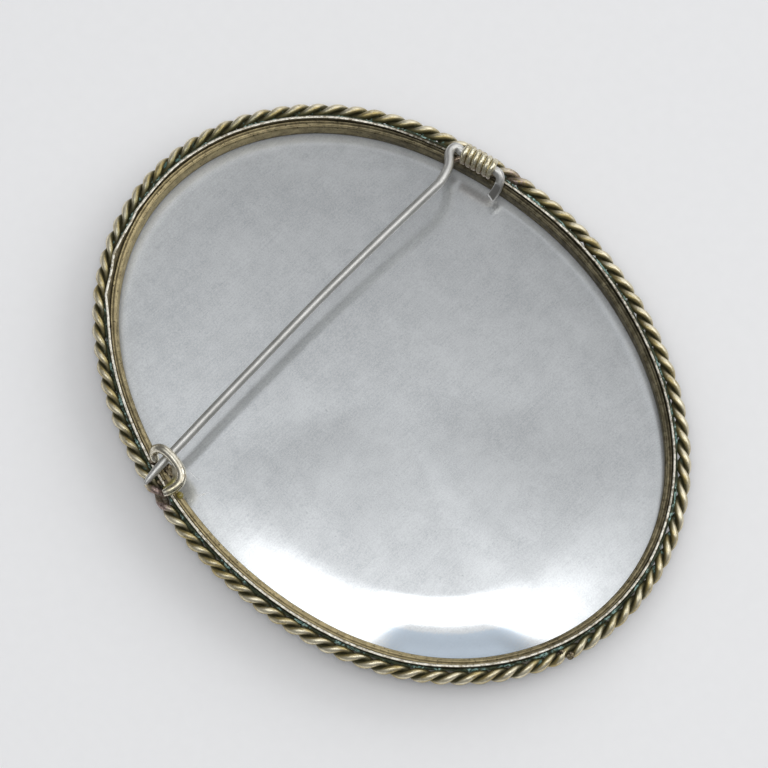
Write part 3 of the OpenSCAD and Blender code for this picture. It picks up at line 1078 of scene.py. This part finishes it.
saddle_t = np.radians(np.linspace(112.3, 106.2, SADDLE_STEPS))
saddle_path = np.stack([*oval(saddle_t, 0.0), np.full(SADDLE_STEPS, RIM_TOP)], -1)
saddle_end = np.sin(np.linspace(0.12, np.pi - 0.12, SADDLE_STEPS)) ** 0.35
saddle_wander = 1 + 0.16 * ripple(np.linspace(0, 3, SADDLE_STEPS), 41)
saddle_radius = 0.4 * MM * saddle_end * saddle_wander
saddle_rings = wire(saddle_path, saddle_radius, (0, 0, 1.0), 24, flat=0.62)
lumps = [
    lump((-9.6, -19.98, 5.12), (0.46, 0.36, 0.3), 51),
    lump((-7.3, -20.5, 5.16), (0.34, 0.2, 0.16), 53, 0.3),
    lump((-7.75, -20.72, 4.98), (0.36, 0.26, 0.2), 55, 0.3),
    lump((-6.9, -20.95, 4.9), (0.3, 0.26, 0.22), 57, 0.3),
    lump((-7.7, -19.55, 4.88), (0.62, 0.13, 0.12), 59, 0.3),
    lump((-8.4, -19.36, 4.68), (0.55, 0.5, 0.26), 67, 0.15),
    lump((28.75, -5.5, 4.82), (0.3, 0.42, 0.26), 61, 0.35),
    lump((28.1, -5.95, 4.86), (0.26, 0.36, 0.22), 63, 0.35),
    lump((28.6, -3.9, 4.74), (0.18, 0.26, 0.16), 65, 0.35),
]
old_joints = tubes("old_joints", [saddle_rings, *lumps])


def solder_look(place):
    """Brown-grey solder with dark flux in its dents and a few bright rubbed spots."""
    cloud = noise(place, 0.4 * MM, 4)
    flux = cloud.between(0.44, 0.6)
    spots = noise(place, 0.22 * MM, 2).between(0.6, 0.68)
    dark = flux.mixed((0.22, 0.18, 0.11), (0.04, 0.028, 0.017))
    return {
        "Base_Color": spots.mixed(dark, (0.46, 0.38, 0.3)),
        "Metallic": 0.85,
        "Roughness": flux * 0.25 + 0.32,
        "Normal": bumps(cloud, 0.06 * MM),
    }


dress(old_joints, finish("old_solder", solder_look), "brooch")

# %% [markdown]
# A bead of varnish has set on the ring beside the catch. It is clear and yellow-green.

# %% The bead of varnish
varnish_rings = lump((-5.74, -20.28, 4.92), (0.34, 0.31, 0.22), 71, 0.05)
varnish_bead = new_mesh("varnish_bead", *closed_tube(varnish_rings))
varnish = finish("olive_varnish", lambda place: {
    "Base_Color": noise(place, 0.3 * MM, 2).mixed((0.13, 0.10, 0.015), (0.32, 0.27, 0.06)),
    "Roughness": 0.3,
    "Coat_Weight": 0.6,
})
dress(varnish_bead, varnish, "brooch")

# %% [markdown]
# ## The catch hook
#
# A stout wire is soldered to the wall, rises, and bends over into an open C that the
# pin's tip slips under. The path follows the solid model's closely, and only the ends
# need care: a foot that melts into the wall and a cut end of bare metal with a painted
# highlight.

# %% The hook
HOOK_SIDES = 24
hook_points = [
    (-9.56, -19.71, -0.26), (-9.61, -19.67, -0.06), (-9.85, -19.55, 0.12), (-10.03, -19.4, 0.32),
    (-10.05, -19.19, 0.72), (-9.8, -18.93, 1.14), (-9.36, -18.74, 1.42), (-8.75, -18.66, 1.5),
    (-8.02, -18.69, 1.5), (-7.32, -18.81, 1.48), (-6.76, -19.02, 1.45), (-6.39, -19.34, 1.42),
    (-6.18, -19.77, 1.39), (-6.14, -20.3, 1.36), (-6.28, -20.9, 1.32), (-6.49, -21.47, 1.29),
]
hook_path = smooth_curve(np.array(hook_points) * MM + [0, 0, RIM_TOP], 9)
hook_last = len(hook_path) - 1
hook_steps = np.arange(len(hook_path))
hook_thick = np.interp(hook_steps, [0, 40, hook_last - 8, hook_last], [1, 1.18, 1.18, 0.9])
hook_rings = wire(hook_path, HOOK_RADIUS * hook_thick, (0, 0.6, -0.8), HOOK_SIDES)
hook_run = np.repeat(np.linspace(0, 1, len(hook_path)), HOOK_SIDES)
catch_hook = new_mesh(
    "catch_hook", *closed_tube(hook_rings), values={"end": capped(hook_run, (0, 1))}
)


def hook_look(place):
    """Pale brass with brown haze and pits, an olive tinge towards the end, and a brighter
    cut end, bare metal with a painted highlight."""
    end = painted(place, "end")
    cloud = noise(place, 0.6 * MM, 4)
    fine = noise(place, 0.1 * MM, 3)
    haze = (cloud * 0.7 + fine * 0.3).between(0.46, 0.64)
    pits = noise(place, 0.2 * MM, 1).between(0.7, 0.74)
    pale = end.between(0.72, 0.9).mixed((0.80, 0.76, 0.64), (0.66, 0.62, 0.44))
    brown = haze.mixed(pale, (0.52, 0.46, 0.35))
    # The cut end is bare metal with a painted highlight.
    cut = end.between(0.955, 0.975)
    return {
        "Base_Color": cut.mixed(pits.mixed(brown, (0.07, 0.05, 0.03)), (0.74, 0.70, 0.58)),
        "Metallic": 1.0,
        "Roughness": haze * 0.15 + 0.22,
        "Normal": bumps(cloud, 0.008 * MM),
    }


dress(catch_hook, finish("rubbed_brass_hook", hook_look), "brooch")

# %% [markdown]
# Solder has crept up the inner side of the hook and set there as a second, olive-brown
# bead. It is a thinner tube that lies against the hook a little lower down.

# %% The bead inside the hook
bead_points = [
    (-7.85, -19.05, 1.0), (-7.3, -19.25, 1.02), (-6.85, -19.55, 1.02), (-6.62, -20.1, 1.02),
    (-6.66, -20.65, 1.02), (-6.8, -21.15, 1.0),
]
bead_path = smooth_curve(np.array(bead_points) * MM + [0, 0, RIM_TOP], 8)
bead_swell = np.sin(np.linspace(0.15, np.pi - 0.15, len(bead_path))) ** 0.5
bead_rings = wire(bead_path, 0.36 * MM * bead_swell, (0, 0.6, -0.8), 18)
inner_bead = new_mesh("inner_bead", *closed_tube(bead_rings))


def bead_look(place):
    """Brown-grey like the hook at its upper end, and olive towards the cut end."""
    down = 1 - place.along(picture_north).between(-9.3 * MM, -8.3 * MM)
    cloud = noise(place, 0.35 * MM, 3).between(0.35, 0.65)
    grey = cloud.mixed((0.34, 0.30, 0.22), (0.62, 0.57, 0.45))
    olive = cloud.mixed((0.20, 0.17, 0.045), (0.46, 0.42, 0.16))
    return {"Base_Color": down.mixed(grey, olive), "Metallic": 0.8, "Roughness": 0.34}


dress(inner_bead, finish("olive_solder", bead_look), "brooch")

# %% [markdown]
# ## The pin
#
# The pin is one wire: a short tail, the axle inside the coil, a tight S-bend up and
# over, a long stem that has bowed a little with use, and a blunt tapered tip. It is a
# single tube along one path, whose radius changes along the way.

# %% The pin's path
AXLE_STEPS = 9
tail_points = [
    (0.68, -1.94, -1.78), (0.76, -1.73, -1.53), (0.83, -1.54, -1.29), (0.92, -1.17, -0.85),
    (0.9, -0.77, -0.5), (0.76, -0.35, -0.23), (0.46, -0.06, -0.05),
]
s_bend_points = [
    (0.45, 0.12, 0.01), (0.8, 0.05, 0.06), (0.98, -0.3, 0.16), (0.97, -0.72, 0.32),
    (0.8, -1.1, 0.5), (0.52, -1.52, 0.74), (0.27, -2.0, 1.0), (0.1, -2.56, 1.25),
    (0.03, -3.17, 1.46), (0.02, -3.75, 1.58),
]
stem_points = [
    (-9.95, 15.44, 2.45), (-9.95, 11.93, 2.25), (-9.92, 8.31, 2.06), (-9.86, 4.69, 1.86),
    (-9.78, 1.08, 1.67), (-9.63, -2.51, 1.47), (-9.45, -6.1, 1.27), (-9.28, -9.68, 1.07),
    (-9.1, -13.25, 0.87), (-8.9, -16.66, 0.67), (-8.76, -19.5, 0.51), (-8.58, -21.2, 0.42),
    (-8.46, -21.98, 0.38),
]
axle_points = np.zeros((AXLE_STEPS, 3))
axle_points[:, 0] = np.linspace(COIL_HALF / MM + 0.18, -COIL_HALF / MM - 0.18, AXLE_STEPS)
pin_points = np.concatenate([
    at_hinge(tail_points, end=1),
    at_hinge(axle_points),
    at_hinge(s_bend_points, end=-1),
    np.array(stem_points) * MM + [0, 0, RIM_TOP],
])
pin_path = smooth_curve(pin_points, 12)
pin_run = np.concatenate([[0], np.cumsum(np.linalg.norm(np.diff(pin_path, axis=0), axis=1))])
from_tip = (pin_run[-1] - pin_run) / MM
from_tail = pin_run / MM
print("pin wire:", round(pin_run[-1] / MM, 1), "mm long")

# %% [markdown]
# The radius is looked up in two short lists of places and radii, one counted from the
# tip and one from the tail. The tail's end was nipped flat, so there each ring is a
# circle with a piece cut off along a chord. A painted highlight along the nipped edge
# is a value for the material: it peaks where a ring's circle meets its chord, on the
# side towards the picture's left, and covers the very end of the tail.

# %% The pin's surface
PIN_SIDES = 28
TAPER = [
    (0, 0.08), (0.05, 0.15), (0.25, 0.22), (0.6, 0.29),
    (1.0, 0.335), (1.6, 0.365), (2.6, 0.39), (5.4, 0.4),
]
SWOLLEN = [
    (0, 1.0), (0.04, 1.06), (1.2, 1.06), (2.2, 1.0), (6.6, 1.0),
    (7.6, 1.08), (12, 1.06), (15, 1.05), (45, 1.05), (50, 1.0),
]
pin_radius = np.interp(from_tip, *zip(*TAPER)) * np.interp(from_tail, *zip(*SWOLLEN)) * MM
nipped = np.interp(from_tail, [0, 1.6, 1.95], [0.3, 0.42, 1.0])
blend_in = np.clip((from_tail - 2.4) / 2, 0, 1)[:, None]
tail_across = 0.66 * ACROSS + 0.4 * ALONG - [0, 0, 0.75]
pin_across = (1 - blend_in) * tail_across + blend_in * np.array([0, 0, 1.0])
first, second = square_to(pin_path, pin_across)
pin_angle = turns(PIN_SIDES)[None, :]
chord = np.maximum(np.sin(pin_angle), -nipped[:, None])
pin_rings = pin_path[:, None] + pin_radius[:, None, None] * (
    np.cos(pin_angle)[..., None] * first[:, None] + chord[..., None] * second[:, None]
)
# Painted highlight along the nipped edge, only on the side towards the picture's left, and over
# the very end.
leftward = (pin_path[:, None] - pin_rings) @ np.array(picture_east) / pin_radius[:, None]
cut_off = (nipped < 0.9)[:, None]
beyond_chord = np.sin(pin_angle) + nipped[:, None]
on_edge = np.exp(-((beyond_chord / 0.26) ** 2)) * cut_off * np.clip(leftward * 3, 0, 1)
at_end = np.clip(2.2 - from_tail / 0.1, 0, 1)[:, None]
on_face = np.clip(-beyond_chord, 0, 0.2) * 5 * cut_off
pin_piece = new_mesh("pin_stem", *closed_tube(pin_rings), values={
    "edge_glint": capped(np.maximum(on_edge, at_end), (1, 0)),
    "face": capped(on_face),
})
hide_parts("pin")


def pin_look(place):
    """Grey drawn wire: fine lines along it, and a faint warm haze. The nipped face of the
    tail is dark, and a painted highlight lies along its left edge and its end."""
    edge_glint = painted(place, "edge_glint")
    face = painted(place, "face")
    haze = noise(place, 3 * MM, 3)
    lines = noise(place, 0.09 * MM, 3, stretch=(1, 30, 1))
    fine = noise(place, 0.08 * MM, 2)
    tone = (haze * 0.5 + lines * 0.3 + fine * 0.3).between(0.3, 0.85)
    metal = tone.mixed((0.56, 0.555, 0.525), (0.80, 0.795, 0.77))
    nipped_metal = face.between(0.1, 0.6).mixed(metal, (0.38, 0.375, 0.365))
    edge = edge_glint.between(0.3, 0.8)
    return {
        "Base_Color": edge.mixed(nipped_metal, (0.92, 0.92, 0.9)),
        "Metallic": 0.95 - edge * 0.8,
        "Roughness": lines * 0.15 + edge_glint * 0.15 + 0.34,
        "Normal": bumps(lines * 0.5 + fine * 0.5, 0.01 * MM),
    }


dress(pin_piece, finish("drawn_grey_wire", pin_look), "pin_wire")

# %% [markdown]
# ## The lacquered tablet
#
# The hidden front is a domed tablet of black lacquer. It is the same kind of stack of
# ovals as the plate, with the dome downwards, and its crown just clears the table so
# that there is room for the thickness of the paint.

# %% The tablet
TABLET_RABBET = 1 - (LIP_REACH + 0.1 * MM) / HALF_WIDTH
CROWN_LIFT = 0.035 * MM


def dome(share):
    """Height of the lacquered front over the table at a share of the oval: level on the
    crown, and from there a power of the way to the edge."""
    climb = np.clip((share - CROWN_SHARE) / (TABLET_RABBET - CROWN_SHARE), 0, 1)
    return CROWN_LIFT + (TABLET_DOME - CROWN_LIFT) * climb ** 1.7


crown_to_rabbet = np.linspace(0.02, TABLET_RABBET, 70)
front_shares = np.concatenate([[INNERMOST], crown_to_rabbet, [0.97, 0.99, 1.0]])
side_heights = np.linspace(TABLET_DOME + 0.1 * MM, TABLET_BACK - GAP, 5)
back_shares = np.array([0.98, 0.6, 0.3, INNERMOST])
tablet_rings = [
    stacked(front_shares, dome(front_shares)),
    stacked(np.ones_like(side_heights), side_heights),
    stacked(back_shares, np.full_like(back_shares, TABLET_BACK - GAP)),
]
tablet = new_mesh("lacquer_tablet", *closed_tube(np.concatenate(tablet_rings)))
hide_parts("lacquer_plaque")


def lacquer_look(place):
    """Deep black under a clear coat, with very fine polishing marks."""
    marks = noise(place, 0.6 * MM, 3)
    return {
        "Base_Color": marks.between(0.3, 0.8).mixed((0.006, 0.005, 0.005), (0.016, 0.012, 0.011)),
        "Roughness": marks * 0.1 + 0.22,
        "Coat_Weight": 1.0,
        "Coat_Roughness": 0.04,
    }


dress(tablet, finish("black_lacquer", lacquer_look), "brooch")

# %% [markdown]
# ## The painting on the front
#
# Nobody sees the front in this view, but the brooch can be turned over. It carries a
# plain spray of flowers inside two fine gold ovals, made up for this model. A brush
# stroke is a flattened tube that swells and thins along its path and lies on the dome,
# so its wide side has to follow the dome's own slope at each point.

# %% Brush strokes on the dome
PAINT = 0.025 * MM


def on_dome(x, y):
    """Height of the front at a place, through its share of the way to the edge."""
    return dome(edge_share(x, y))


def brush(points, width, fullness=0.7, rows=16):
    """Rings of a stroke through points given in millimetres. Its half width is that of
    width times the sine of the way along, raised to the fullness."""
    steps = max(2, rows // (len(points) - 1))
    path = smooth_curve(np.array(points, float) * MM, steps)
    x, y = path.T
    small = 0.02 * MM
    slope_x = (on_dome(x + small, y) - on_dome(x - small, y)) / (2 * small)
    slope_y = (on_dome(x, y + small) - on_dome(x, y - small)) / (2 * small)
    normal = unit(np.stack([slope_x, slope_y, -np.ones_like(x)], -1))
    way = np.linspace(0.03, 0.97, len(path))
    half = width / 2 * MM * np.sin(np.pi * way) ** fullness
    return wire(np.stack([x, y, on_dome(x, y)], -1), half, normal, 8, flat=PAINT / half)


def turned(points, angle, centre):
    """Points in the plane turned by an angle and moved to a centre."""
    c, s = math.cos(angle), math.sin(angle)
    return np.asarray(points) @ np.array([[c, s], [-s, c]]) + centre


# %% [markdown]
# Flowers and leaves are the same few strokes, turned and moved to their places. All the
# strokes become one mesh, and each carries its colour as three values that the material
# mixes its paints by.

# %% The spray of flowers
strokes = []
paints = {"red": [], "green": [], "pale": []}


def paint(rings, red=0.0, green=0.0, pale=0.0):
    """Keeps a stroke with its colour, which is gold where nothing else is given."""
    strokes.append(rings)
    for key, value in zip(paints, (red, green, pale)):
        paints[key].append(value)


def flower(centre, size, petals, first, pale):
    """A ring of broad petals, each with a lighter stroke in it, round a gold heart."""
    petal = size * np.array([(0.12, 0), (0.6, 0.05), (1, 0)])
    light = size * np.array([(0.4, 0.05), (0.85, 0.1)])
    for k in range(petals):
        angle = first + 2 * math.pi * k / petals
        paint(brush(turned(petal, angle, centre), 0.78 * size, 0.5), red=1.0, pale=pale)
        paint(brush(turned(light, angle, centre), 0.16 * size), red=1.0, pale=0.9)
    for k in range(7):
        dot = turned([(0.1 * size, 0), (0.24 * size, 0)], 2 * math.pi * k / 7, centre)
        paint(brush(dot, 0.1 * size, 0.4, 6))


def leaf(base, angle, size):
    """A pointed leaf with a gold vein."""
    blade = size * np.array([(0, 0), (0.45, 0.08), (1, -0.04)])
    vein = size * np.array([(0.04, 0), (0.45, 0.07), (0.9, -0.02)])
    paint(brush(turned(blade, angle, base), 0.34 * size, 0.8), green=1.0)
    paint(brush(turned(vein, angle, base), 0.06 * size))


stems = [
    [(17, 0.4), (8, 0.2), (-2, 0.0)],
    [(16.5, 0.2), (6, -3.2), (-5.5, -8.6)],
    [(16.5, 0.6), (6, 3.6), (-6.5, 8.2)],
    [(15.5, 0.2), (2, 1.6), (-13.5, 1.0)],
    [(15.8, -0.2), (9, -3.6), (3.5, -9.0)],
    [(15.8, 0.8), (9, 4.2), (4.5, 9.2)],
]
for stem in stems:
    paint(brush(stem, 0.34, 0.25, 24), green=1.0)
for base, angle, size in [
    ((9, 1.2), 0.9, 5.2), ((9.5, -1.4), -0.9, 5.0), ((4.5, 3.8), 2.2, 5.6),
    ((4.0, -3.9), -2.2, 5.4), ((-5.2, 3.4), 2.5, 5.4), ((-5.6, -3.2), -2.6, 5.2),
    ((0.5, 8.0), 1.5, 4.6), ((1.0, -7.6), -1.5, 4.4), ((12.5, 0.9), 0.45, 4.4),
    ((12.8, -0.4), -0.5, 4.2), ((-12.2, 3.0), 2.3, 4.6), ((-12.0, -2.2), -2.2, 4.4),
]:
    leaf(base, angle, size)
flower((-2.5, 0.0), 4.6, 6, 0.2, 0.0)
flower((-7.8, -9.2), 3.2, 5, 0.5, 0.55)
flower((-8.6, 8.6), 3.3, 5, 0.1, 0.55)
flower((-15.0, 0.8), 3.4, 5, 0.3, 0.2)
flower((2.6, -10.2), 2.3, 5, 0.8, 0.8)
flower((3.8, 10.4), 2.3, 5, 0.4, 0.8)
round_oval = np.stack(oval(np.linspace(0, 2 * np.pi * 1.003, 260), -INSIDE), -1)
for share, width in ((0.905, 0.34), (0.865, 0.14)):
    paint(brush(round_oval * share / MM, width, 0.02, 520))
front_painting = tubes("front_painting", strokes, paints)


def paint_look(place):
    """Gold leaf, or thin oil paint where the stroke carries a colour."""
    red, green, pale = (painted(place, name) for name in paints)
    brushed = noise(place, 0.5 * MM, 3)
    gold = brushed.mixed((0.56, 0.36, 0.10), (0.78, 0.56, 0.22))
    petal = pale.mixed((0.36, 0.02, 0.02), (0.72, 0.42, 0.30))
    leaf_green = brushed.mixed((0.02, 0.085, 0.03), (0.05, 0.17, 0.055))
    return {
        "Base_Color": green.mixed(red.mixed(gold, petal), leaf_green),
        "Metallic": 1 - red - green,
        "Roughness": brushed * 0.15 + 0.3,
        "Coat_Weight": 1.0,
        "Coat_Roughness": 0.05,
    }


dress(front_painting, finish("oil_and_gold", paint_look), "brooch")

# %% [markdown]
# ## Table and light
#
# A pale table, a soft panel straight above, which the rolled side of the plate mirrors,
# and wide soft lights from the upper right and the right of the picture, which draw the
# shadow to the lower left. A small fill lamp lights the table from above: it is left out
# of reflections, where it would be a spot on the plate.

# %% The table and the lamps
HALF_TABLE = 1.2
LAMP_DISTANCE = 1.2
table_corners = HALF_TABLE * np.array([(-1, -1, 0), (1, -1, 0), (1, 1, 0), (-1, 1, 0)])
table_mesh = bpy.data.meshes.new("table")
table_mesh.from_pydata(table_corners.tolist(), [], [(0, 1, 2, 3)])
table = bpy.data.objects.new("table", table_mesh)
bpy.context.scene.collection.objects.link(table)


def table_look(place):
    """Matt pale card."""
    card = noise(place, 1.2 * MM, 3).mixed((0.865, 0.865, 0.875), (0.895, 0.895, 0.905))
    return {"Base_Color": card, "Roughness": 0.9}


table_mesh.materials.append(finish("pale_card", table_look))


def seen_towards(east, north):
    """Unit direction at so many degrees from straight above towards the picture's right
    and top."""
    towards = picture_east * math.tan(math.radians(east))
    towards = towards + picture_north * math.tan(math.radians(north))
    return (towards + Vector((0, 0, 1))).normalized()


def soft_light(name, towards, width, length, power):
    """An area light that shines on the brooch from a direction. Its width lies along
    the picture's right."""
    light = bpy.data.lights.new(name, "AREA")
    light.shape = "RECTANGLE"
    light.size = width
    light.size_y = length
    light.energy = power
    lamp = bpy.data.objects.new(name, light)
    bpy.context.scene.collection.objects.link(lamp)
    side = (picture_east - towards * picture_east.dot(towards)).normalized()
    axes = Matrix((side, towards.cross(side), towards)).transposed().to_4x4()
    lamp.matrix_world = Matrix.Translation(towards * LAMP_DISTANCE) @ axes
    return lamp


soft_light("overhead_panel", seen_towards(0, -4.5), 0.87, 0.37, 1.42)
soft_light("window", seen_towards(38, 52), 1.1, 1.1, 3.2)
soft_light("side_lamp", seen_towards(48, 8), 0.9, 0.9, 3.6)
fill = soft_light("overhead_fill", seen_towards(0, -15), 0.3, 0.3, 3.6)
fill.visible_glossy = False
print("lamps:", [light.name for light in bpy.data.lights])

# %% [markdown]
# The world fills the rest like a pale room that glows round the panel: the dot product of
# a direction with the brightest one tells how close they are, and that with the picture's
# north how far up it lies.

# %% The world
world = bpy.data.worlds.new("pale_room")
bpy.context.scene.world = world
world.use_nodes = True
background = world.node_tree.nodes["Background"]
background.inputs["Color"].default_value = (0.97, 0.985, 1.0, 1)
direction = Tone(world.node_tree).node("TexCoord", output="Generated")


def glow_towards(towards, dark, full=0):
    """1 up to full degrees away from a direction, falling to 0 at dark degrees."""
    cosines = math.cos(math.radians(dark)), math.cos(math.radians(full))
    return direction.along(towards).between(*cosines)


halo = glow_towards(seen_towards(-9, 0), 30)
ceiling = glow_towards((0, 0, 1), 62, 28)
north_off = abs(direction.along(picture_north) - 0.02).between(0.06, 0.36)
east_off = abs(direction.along(picture_east) + 0.08).between(0.2, 0.7)
glow = (1 - north_off) * (1 - east_off) * ceiling
east_glow = glow_towards(seen_towards(13, 3), 16)
brightness = halo * 0.3 + glow * 0.45 + east_glow * 0.15 + ceiling * 0.14 + 0.16
world.node_tree.links.new(brightness.socket, background.inputs["Strength"])
bpy.context.scene.view_settings.view_transform = "Standard"
print("world:", len(world.node_tree.nodes), "nodes")
